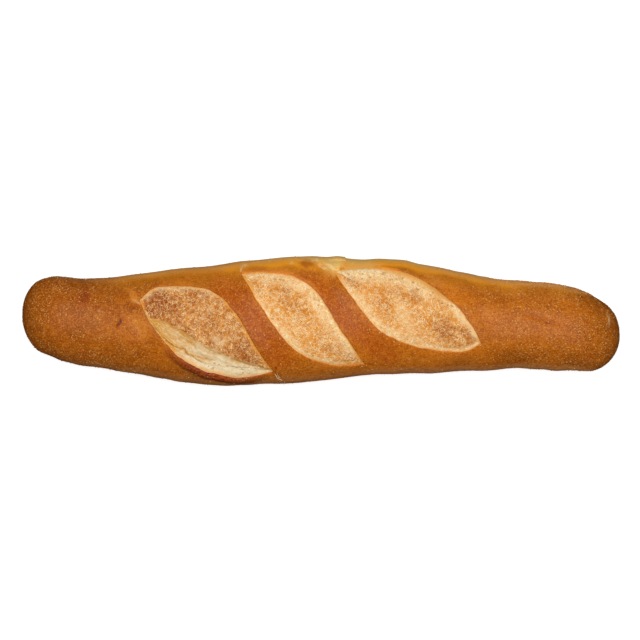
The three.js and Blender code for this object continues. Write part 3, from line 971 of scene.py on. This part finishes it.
def golden_edge(points, depth, share, upper, which):
    """How close each point is to the edge, where the crumb is golden."""
    reach = 1.1 if which else 0.6
    if which == 2:
        wide = ease(0.22, 0.36, share) * ease(0.75, 0.6, share)
        reach = np.where(upper, 0.7 + 3.8 * wide, reach)
    return ease(reach, -0.1, depth + 0.4 * noise(points, 1.5, 59))


def crumb_surface(points, placing, which):
    """How far each crumb point stands out from the loaf's outer form, and its masks."""
    depth, share, upper = placing.depth, placing.share, placing.side > 0
    edge = RIB + ear_profile(0) * ear_size(placing)
    rise = 0.35 * (1 - np.exp(-np.clip(depth, 0, None) / 1.4)) + 0.45 * ease(0, 10, depth)
    rise += (edge - 0.35) * ease(5.5, 0, depth) - 0.1 * ease(0, 6, depth)
    lumps = 0.3 * noise(points, 9, 20 + which) + 0.16 * noise(points, 3.6, 30 + which)
    fine = 0.12 * noise(points, 1.2, 45 + which) + 0.07 * noise(points, 0.55, 48 + which)
    pore = pores_of(points, placing, which)
    folds, fold_relief = {key: np.zeros(len(points)) for key in ("cream", "cleft", "milk_and_shade")}, 0
    if which == 0:
        folds, fold_relief = folds_of(points)
    panel = 1 - folds["cream"]
    web = strings(points, 400 + 20 * which) * (1 - 0.85 * folds["cream"]) * ease(0.2, 2.0, depth)
    near_edge = golden_edge(points, depth, share, upper, which)
    warm = 0.7 * ear_size(placing) ** 0.3 * ease(1.9, 0.2, depth + 0.5 * noise(points, 3, 58))
    ledge = (which > 0) * ~upper * ease(0.68, 0.85, share) * ease(1.02, 0.9, share)
    groove = np.exp(-(((depth - 1.8 + 0.4 * noise(points, 2.5, 84)) / 0.6) ** 2))
    # painted shadow: a dark line in the groove behind the ledge near the tails, and on the crumb beside the
    # upper sides' later edges
    behind = np.maximum(0.7 * ledge * groove, 0.5 * upper * ease(0.45, 0.6, share) * near_edge)
    relief = lumps + 0.2 * ease(0, 1, web) + fine * (1 - 0.7 * folds["cream"])
    relief += fold_relief - 0.45 * pore - 0.5 * behind
    masks = {
        "toast": np.clip(toasting(points, depth, share, which) * panel, 0, 1.2),
        "web": web,
        "cream": folds["cream"],
        "milk_and_shade": folds["milk_and_shade"],
        # painted shade: the dark mask darkens pores, the fold's cleft and creases, and the grooves behind
        # ledges and edges
        "dark": np.maximum.reduce([pore * 0.9, folds["cleft"], 0.75 * behind]),
        "golden": np.maximum(near_edge * np.where(upper & (which > 0), 1.0, 0.75), warm),
        "pale": pale_edges(points, placing, which) * panel,
    }
    return rise - EDGE_DROP + ease(-0.5, 1.5, depth) * relief, masks


class Crumb:
    """The crumb of one opening: its mesh, and its relief and masks on a grid in plan."""

    def __init__(self, which):
        outline = OPENINGS[which].outline
        self.low = outline.min(axis=0) - TUCK - 1
        size = np.ceil((outline.max(axis=0) + TUCK + 1 - self.low) / CRUMB_STEP).astype(int)
        plan = self.low + CRUMB_STEP * np.indices(size).reshape(2, -1).T
        i, j = np.indices(size - 1).reshape(2, -1)
        a = i * size[1] + j
        b = a + size[1]
        placing = Placing(len(plan)).fill(np.arange(len(plan)), plan, margin=4)
        placing.depth[placing.which != which] = FAR
        _, faces = draw_to_edge(plan, halves(a, b, b + 1, a + 1), placing, TUCK, keep_sign=1)
        points, normals = on_crown(plan)
        relief, masks = crumb_surface(points, placing, which)
        grids = {"relief": relief, "depth": placing.depth, **masks}
        self.grids = {key: value.reshape(size) for key, value in grids.items()}
        points, faces, masks = drop_unused(points + normals * relief[:, None], faces, masks)
        self.piece = make_mesh(f"crumb_{which + 1}", points, faces, masks)

    def read(self, name, plan):
        """A grid's value at plan points, read between its nearest four."""
        grid = self.grids[name]
        place = (plan - self.low) / CRUMB_STEP
        cell = np.clip(np.floor(place).astype(int), 0, np.array(grid.shape) - 2)
        (i, j), (u, v) = cell.T, (place - cell).T
        first = grid[i, j] * (1 - v) + grid[i, j + 1] * v
        second = grid[i + 1, j] * (1 - v) + grid[i + 1, j + 1] * v
        return first * (1 - u) + second * u


# ---- Torn fibres on the crumb ----


def tubes(centres, ups, radii):
    """Thin three-sided tubes: rows of centres, with the outward way and the radius at each."""
    count, length, _ = centres.shape
    along = unit(np.gradient(centres, axis=1).reshape(-1, 3)).reshape(centres.shape)
    across = unit(np.cross(along, ups).reshape(-1, 3)).reshape(centres.shape)
    turns = np.radians([90, 210, 330])[:, None]
    around = np.cos(turns) * across[:, :, None] + np.sin(turns) * ups[:, :, None]
    points = centres[:, :, None] + radii[:, :, None, None] * around
    row, side = np.indices((length - 1, 3)).reshape(2, -1)
    here, after = 3 * row + side, 3 * row + (side + 1) % 3
    faces = halves(here, after, after + 3, here + 3) + 3 * length * np.arange(count)[:, None, None]
    return points.reshape(-1, 3), faces.reshape(-1, 3)


def thread_paths(rng, start):
    """Short curling paths in plan, one through each start."""
    length = rng.uniform(*THREAD_LENGTHS, len(start))[:, None]
    way = np.linspace(-0.5, 0.5, THREAD_STEPS) * length
    bend, curl = rng.normal(0, 0.5, (2, len(start), 1))
    turn = np.radians(rng.choice(FIBRE_TURNS, len(start)) + rng.normal(0, 25, len(start)))[:, None]
    turn = turn + bend * way + curl * way**2
    step = length / (THREAD_STEPS - 1)
    path = np.stack([np.cumsum(np.cos(turn), axis=1) * step, np.cumsum(np.sin(turn), axis=1) * step], 2)
    return path - path[:, THREAD_STEPS // 2, None] + start[:, None]


def thread_chance(grids):
    """How likely a fibre is at each point of a crumb's grid."""
    shape = grids["depth"].shape
    patchy = ease(-0.7, 0.5, noise(CRUMB_STEP * np.indices(shape).reshape(2, -1).T, 3.0, 110))
    chance = (grids["depth"] > -0.2) * (1 - 0.85 * grids["cream"]) * np.clip(1 - grids["dark"], 0, 1)
    chance = chance * (0.15 + 0.85 * patchy.reshape(shape)) * ease(0.3, 1.8, grids["depth"])
    chance = chance * (1 - 0.6 * np.clip(grids["pale"], 0, 1))
    return chance.ravel() / chance.sum()


def thread_tubes(crumb, which):
    """One opening's fibres, with how toasted each point is."""
    rng = np.random.default_rng(100 + which)
    shape = crumb.grids["depth"].shape
    chosen = rng.choice(math.prod(shape), THREADS_EACH, p=thread_chance(crumb.grids))
    start = crumb.low + CRUMB_STEP * columns(*np.unravel_index(chosen, shape))
    plan = thread_paths(rng, start).reshape(-1, 2)
    points, normals = on_crown(plan)
    arch = np.sin(np.linspace(0, math.pi, THREAD_STEPS)) * rng.uniform(0.1, 0.35, (len(start), 1))
    lift = crumb.read("relief", plan) + arch.ravel() - 0.12
    centres = (points + normals * lift[:, None]).reshape(-1, THREAD_STEPS, 3)
    swell = np.sin(np.linspace(0.12, 0.88, THREAD_STEPS) * math.pi)
    girth = THREAD_RADIUS * rng.lognormal(0, 0.3, (len(start), 1))
    points, faces = tubes(centres, normals.reshape(centres.shape), girth * swell)
    toast = crumb.read("toast", start) * (1 - crumb.read("pale", start))
    return points, faces, np.repeat(toast + rng.normal(0, 0.15, len(start)), 3 * THREAD_STEPS)


def shred_tubes(surface):
    """The torn strings at the slashes' ends, laid on the nearest of the surface's points."""
    top = surface[surface[:, 2] > BELLY_LEVEL - 6]
    for number, (line, thickness) in enumerate(SHREDS):
        even = smooth_curve(line, 0.35)
        plan = even + 0.25 * columns(noise(even, 1.4, 120 + number), noise(even, 1.4, 140 + number))
        near = np.linalg.norm(plan[:, None] - top[None, :, :2], axis=2).argmin(axis=1)
        _, normals = on_crown(plan)
        height = np.convolve(np.pad(top[near, 2], 1, mode="edge"), (0.25, 0.5, 0.25), mode="valid")
        centres = columns(plan, height) + 0.5 * thickness * normals
        swell = np.sin(np.linspace(0.1, 0.9, len(plan)) * math.pi) ** 0.5
        girth = thickness * swell * (1 + 0.3 * noise(even, 1.0, 160 + number))
        points, faces = tubes(centres[None], normals[None], girth[None])
        yield points, faces, np.full(len(points), 0.7)


def make_threads(crumbs, surface):
    """Short curled fibres on the torn crumb, and torn strings at the slashes' ends."""
    parts = [thread_tubes(crumb, which) for which, crumb in enumerate(crumbs)]
    points, faces, tones = zip(*parts, *shred_tubes(surface))
    starts = np.cumsum([0, *map(len, points)])
    faces = np.vstack([some + start for some, start in zip(faces, starts)])
    return make_mesh("torn_fibres", np.vstack(points), faces, {"toast": np.concatenate(tones)})


# ---- Materials ----


def linear(red, green, blue):
    """A colour given as 0 to 255 sRGB, for a shader's socket."""
    parts = [c / 255 for c in (red, green, blue)]
    return (*[c / 12.92 if c <= 0.04045 else ((c + 0.055) / 1.055) ** 2.4 for c in parts], 1.0)


class Shader:
    """A material with one Principled shader, and short calls for the nodes that feed it."""

    def __init__(self, name):
        self.material = bpy.data.materials.new(name)
        self.material.use_nodes = True
        self.tree = self.material.node_tree
        self.out = self.tree.nodes["Principled BSDF"]
        self.place = self.node("TexCoord", "Object")

    def link(self, value, socket):
        if isinstance(value, bpy.types.NodeSocket):
            self.tree.links.new(value, socket)
        else:
            socket.default_value = value

    def node(self, kind, output, inputs=(), **settings):
        """Adds a node with these settings and inputs, and returns one of its outputs."""
        node = self.tree.nodes.new("ShaderNode" + kind)
        for key, value in settings.items():
            setattr(node, key, value)
        for key, value in dict(inputs).items():
            self.link(value, node.inputs[key])
        return node.outputs[output]

    def mask(self, name):
        return self.node("Attribute", "Fac", attribute_name=name)

    def noise(self, size, detail=2.0, rough=0.5, wander=0.0):
        inputs = {"Scale": 1 / (size * MM), "Detail": detail, "Roughness": rough, "Distortion": wander}
        return self.node("TexNoise", "Fac", {**inputs, "Vector": self.place})

    def math(self, operation, a, b):
        return self.node("Math", 0, {0: a, 1: b}, operation=operation)

    def times(self, a, b):
        return self.math("MULTIPLY", a, b)

    def plus(self, a, b):
        return self.math("ADD", a, b)

    def larger(self, a, b):
        return self.math("MAXIMUM", a, b)

    def wavering(self, strength, *noise):
        """Noise about zero."""
        return self.times(self.math("SUBTRACT", self.noise(*noise), 0.5), strength)

    def between(self, value, low, high, start=0.0, end=1.0):
        """Smooth step from start, where value is low, to end, where it is high."""
        limits = {"From Min": low, "From Max": high, "To Min": start, "To Max": end}
        return self.node("MapRange", "Result", {"Value": value, **limits}, interpolation_type="SMOOTHSTEP")

    def streaks(self, length, width, turn, low=0.54, high=0.68):
        """Short fibres that run at `turn` degrees in plan: 1 on a fibre, 0 between them."""
        scale = (length * MM, width * MM, width * MM)
        inputs = {"Rotation": (0, 0, math.radians(turn)), "Scale": scale, "Vector": self.place}
        place = self.node("Mapping", "Vector", inputs, vector_type="TEXTURE")
        fibre = self.node("TexNoise", "Fac", {"Scale": 1.0, "Detail": 1.0, "Vector": place})
        return self.between(fibre, low, high)

    def specks(self, size, radius, share):
        """Scattered round specks, `size` apart, where the given share of the places has one."""
        away = self.node("TexVoronoi", "Distance", {"Scale": 1 / (size * MM), "Vector": self.place})
        there = self.math("LESS_THAN", away.node.outputs["Color"], share)
        return self.times(self.between(away, radius / size, 0.4 * radius / size), there)

    def mix(self, share, *ends):
        """A colour between two, each given as red, green and blue or as another node's output."""
        first, second = (linear(*end) if isinstance(end, tuple) else end for end in ends)
        return self.node("Mix", 2, {0: share, 6: first, 7: second}, data_type="RGBA")

    def over(self, colour, tint, share, strength=1):
        """Lays a tint over the colour."""
        return self.mix(share if strength == 1 else self.times(share, strength), colour, tint)

    def bump(self, height, depth):
        """Raises the surface by `depth` millimetres where height is 1."""
        inputs = {"Distance": depth * MM, "Strength": 1.0, "Height": height}
        self.link(self.node("Bump", "Normal", inputs), self.out.inputs["Normal"])

    def finish(self, colour, roughness, specular):
        looks = {"Base Color": colour, "Roughness": roughness, "Specular IOR Level": specular}
        for key, value in looks.items():
            self.link(value, self.out.inputs[key])
        return self.material


CRUST_TONES = [  # what lies over the browned crust: mask, strength and colour
    ("ruddy", 0.8, (169, 72, 6)),
    ("golden", 1, (255, 165, 32)),
    ("pale", 1, (255, 208, 116)),
    ("glow", 1, (222, 138, 52)),
    ("rim", 0.5, (228, 132, 62)),
    # painted light: this tint lightens the crust towards the outline
    ("painted_flank_light", 0.6, (222, 150, 92)),
    ("base", 0.6, (150, 100, 48)),
]


def crust_base(s):
    """The crust's large tones: how far it is browned, and where it is golden, ruddy or pale."""
    tone = s.between(s.plus(s.mask("bake"), s.wavering(1.6, 14, 3)), -0.5, 1.5)
    colour = s.mix(tone, (200, 109, 16), (146, 70, 0))
    for name, strength, tint in CRUST_TONES:
        colour = s.over(colour, tint, s.mask(name), strength)
    return colour


def crust_speckle(s, colour, fine, grain):
    """Fine darker and lighter mottling, weaker on golden and pale skin."""
    rough = s.between(s.larger(s.mask("golden"), s.mask("pale")), 0.0, 0.8, 1.0, 0.25)
    mottle = s.noise(3.0, 4, 0.62)
    darker = s.larger(s.between(mottle, 0.5, 0.75, 0, 0.6), s.between(fine, 0.47, 0.72, 0, 0.7))
    lighter = s.larger(s.between(mottle, 0.5, 0.25, 0, 0.45), s.between(fine, 0.49, 0.28, 0, 0.75))
    colour = s.over(colour, (122, 50, 0), darker, rough)
    colour = s.over(colour, (218, 134, 40), lighter, rough)
    colour = s.over(colour, (130, 56, 0), s.between(grain, 0.5, 0.66, 0, 0.36), rough)
    return s.over(colour, (226, 144, 48), s.between(grain, 0.5, 0.34, 0, 0.36), rough)


def crust_marks(s, colour):
    """Scorched spots and painted shade in the creases, the burnt ear, the rolled edges with painted shade at
    their dark ends, and chalky flecks.
    """
    scorch_and_crease_shade, ear = s.mask("scorch_and_crease_shade"), s.mask("ear")
    colour = s.over(colour, (160, 70, 8), scorch_and_crease_shade, 0.85)
    colour = s.over(colour, (94, 32, 12), s.between(scorch_and_crease_shade, 0.5, 1.2))
    burnt = s.mix(s.between(s.noise(0.9, 3, 0.7), 0.35, 0.65), (100, 30, 8), (166, 76, 30))
    colour = s.over(colour, burnt, ear)
    lip = s.times(s.between(s.mask("lip"), 0.3, 0.9), s.between(ear, 0.6, 0.2))
    # painted shade at a lip's dark end, its own golden colour at the other
    edge = s.mix(s.mask("lip_gold_vs_shade"), (150, 84, 22), (224, 148, 64))
    colour = s.over(colour, s.over(edge, (224, 158, 68), s.mask("golden")), lip)
    chalk = s.between(s.noise(0.7, 3), 0.35, 0.55, 0.3, 1.0)
    return s.over(colour, (248, 214, 154), s.mask("chalk"), chalk)


def crust_material():
    s = Shader("browned_crust")
    fine, grain = s.noise(0.95, 3, 0.7, 0.4), s.noise(0.5, 3, 0.6)
    colour = crust_marks(s, crust_speckle(s, crust_base(s), fine, grain))
    sown = s.times(s.between(s.noise(6, 2), 0.35, 0.65, 0.35, 1.6), s.mask("sown"))
    large = s.specks(1.5, 0.42, s.plus(sown, 0.1))
    small = s.specks(0.85, 0.26, s.plus(sown, 0.12))
    speck = s.larger(large, s.times(small, 0.75))
    colour = s.over(colour, (238, 186, 108), speck, 0.62)
    s.bump(s.plus(grain, speck), 0.1)
    return s.finish(colour, s.between(fine, 0.3, 0.7, 0.3, 0.44), 0.14)


def crumb_fold_colour(s):
    """Smooth dough that opened late: golden near the panel and milky along the ear, with painted shade
    making it less milky beside the panel's edge, along the creases and round the cleft.
    """
    milk_and_shade = s.plus(s.mask("milk_and_shade"), s.wavering(0.8, 1.6, 3))
    colour = s.mix(s.between(milk_and_shade, 0.0, 1.0), (204, 145, 64), (234, 214, 176))
    colour = s.over(colour, (190, 132, 56), s.streaks(2.2, 0.45, FOLD_TURN - 8, 0.46, 0.32), 0.4)
    colour = s.over(colour, (246, 224, 172), s.streaks(2.6, 0.5, FOLD_TURN, 0.5, 0.66), 0.4)
    return s.over(colour, (206, 150, 84), s.between(s.noise(0.6, 3, 0.7), 0.5, 0.72), 0.4)


def crumb_material():
    s = Shader("open_crumb")
    share = s.between(s.plus(s.mask("toast"), s.wavering(0.8, 3.0, 4, 0.6)), 0.0, 1.1)
    pit = s.between(s.noise(0.62, 3, 0.65), 0.53, 0.38)
    ground = s.mix(share, (222, 138, 22), (150, 64, 0))
    colour = s.over(ground, s.mix(share, (206, 112, 8), (136, 56, 0)), pit, 0.5)
    fibre = s.streaks(1.5, 0.4, FIBRE_TURNS[0])
    for turn in FIBRE_TURNS[1:]:
        fibre = s.larger(fibre, s.streaks(1.3, 0.36, turn))
    patches = s.between(s.noise(3.4, 3, 0.6), 0.36, 0.6, 0.5, 1.0)
    some = s.times(patches, s.between(share, 0.4, 1.0, 1.0, 0.55))
    fleck = s.times(s.larger(s.between(s.mask("web"), 0.25, 0.7), s.times(fibre, 0.45)), some)
    colour = s.over(colour, s.mix(share, (248, 222, 164), (232, 186, 122)), fleck, 0.85)
    white = s.mix(s.between(s.noise(0.8, 3, 0.6), 0.35, 0.65), (234, 188, 108), (253, 238, 202))
    colour = s.over(colour, white, s.mask("pale"), 0.85)
    colour = s.over(colour, crumb_fold_colour(s), s.mask("cream"))
    colour = s.over(colour, (234, 168, 82), s.mask("golden"))
    # painted shade in pores, clefts and grooves
    colour = s.over(colour, (152, 106, 46), s.mask("dark"), 0.75)
    s.bump(s.plus(s.noise(0.4, 3, 0.6), s.times(fibre, 0.6)), 0.08)
    return s.finish(colour, 0.85, 0.04)


def fibre_material():
    s = Shader("torn_fibres")
    colour = s.mix(s.between(s.mask("toast"), 0.0, 1.1), (251, 233, 190), (244, 206, 148))
    colour = s.over(colour, (230, 168, 84), s.between(s.noise(0.8, 2), 0.45, 0.7, 0, 0.35))
    return s.finish(colour, 0.8, 0.05)


def grain_material():
    s = Shader("semolina")
    colour = s.mix(s.mask("tone"), (196, 120, 44), (240, 200, 132))
    colour = s.over(colour, (190, 120, 50), s.between(s.noise(0.2, 2), 0.4, 0.7, 0, 0.3))
    return s.finish(colour, 0.6, 0.2)


# ---- Stage: floor, light and camera ----

SHOWN_WIDTH = 321.1  # width of the view at the loaf's widest line
VIEW_CENTRE = (-0.5, 0.5)
CAMERA_HEIGHT = 5000.0
SENSOR = 36.0
FLOOR_HALF = 30.0  # half the floor's width, in metres
FLOOR_GLOW = 0.5
ROOM_LIGHT = 0.24
PANELS = [  # name, size and place in metres, power in watts, tilt in degrees from facing down
    ("softbox", (1.6, 1.2), (0, 0.13, 1.5), 24.0, 0),
    ("fill", (1.4, 0.5), (0, 1.2, 0.3), 1.6, -80),
]


def make_floor():
    mesh = bpy.data.meshes.new("floor")
    corners = [(x * FLOOR_HALF, y * FLOOR_HALF, 0) for x, y in ((-1, -1), (1, -1), (1, 1), (-1, 1))]
    mesh.from_pydata(corners, [], [(0, 1, 2, 3)])
    floor = put_in_scene("floor", mesh)
    s = Shader("pale_floor")
    s.out.inputs["Emission Color"].default_value = linear(255, 255, 255)
    s.out.inputs["Emission Strength"].default_value = FLOOR_GLOW
    mesh.materials.append(s.finish(linear(245, 245, 245), 0.9, 0.0))
    floor.visible_diffuse = False  # dark surroundings for the loaf's flanks
    floor.visible_glossy = False


def make_light():
    world = bpy.data.worlds.new("studio")
    bpy.context.scene.world = world
    world.use_nodes = True
    back = world.node_tree.nodes["Background"]
    back.inputs["Color"].default_value = (1, 1, 1, 1)
    back.inputs["Strength"].default_value = ROOM_LIGHT
    world.cycles_visibility.glossy = False
    for panel in PANELS:
        add_panel(*panel)


def add_panel(name, size, spot, power, tilt):
    """A lamp with an even face, turned about the loaf's length."""
    lamp = bpy.data.lights.new(name, "AREA")
    lamp.shape = "RECTANGLE"
    lamp.size, lamp.size_y = size
    lamp.energy = power
    panel = put_in_scene(name, lamp)
    panel.location = spot
    panel.rotation_euler = (math.radians(tilt), 0, 0)
    panel.visible_camera = False


def make_camera():
    data = bpy.data.cameras.new("camera")
    data.sensor_width = SENSOR
    data.lens = SENSOR * (CAMERA_HEIGHT - BELLY_LEVEL) / SHOWN_WIDTH
    camera = put_in_scene("camera", data)
    camera.location = (VIEW_CENTRE[0] * MM, VIEW_CENTRE[1] * MM, CAMERA_HEIGHT * MM)
    bpy.context.scene.camera = camera
    bpy.context.scene.view_settings.view_transform = "Standard"


# ---- Assembly ----

make_camera()
make_light()
make_floor()

crust_points, crust_faces, masks = make_crust()
crust = make_mesh("crust", crust_points, crust_faces, masks)
grains = make_grains(crust_points, crust_faces)
crumbs = [Crumb(which) for which in range(len(OPENINGS))]
crumb_pieces = [crumb.piece for crumb in crumbs]
fibres = make_threads(crumbs, crust_points)

dressing = [
    ([crust], crust_material()),
    ([grains], grain_material()),
    (crumb_pieces, crumb_material()),
    ([fibres], fibre_material()),
]
for pieces, material in dressing:
    for piece in pieces:
        piece.data.materials.append(material)
        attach(piece, "root")
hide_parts("loaf")
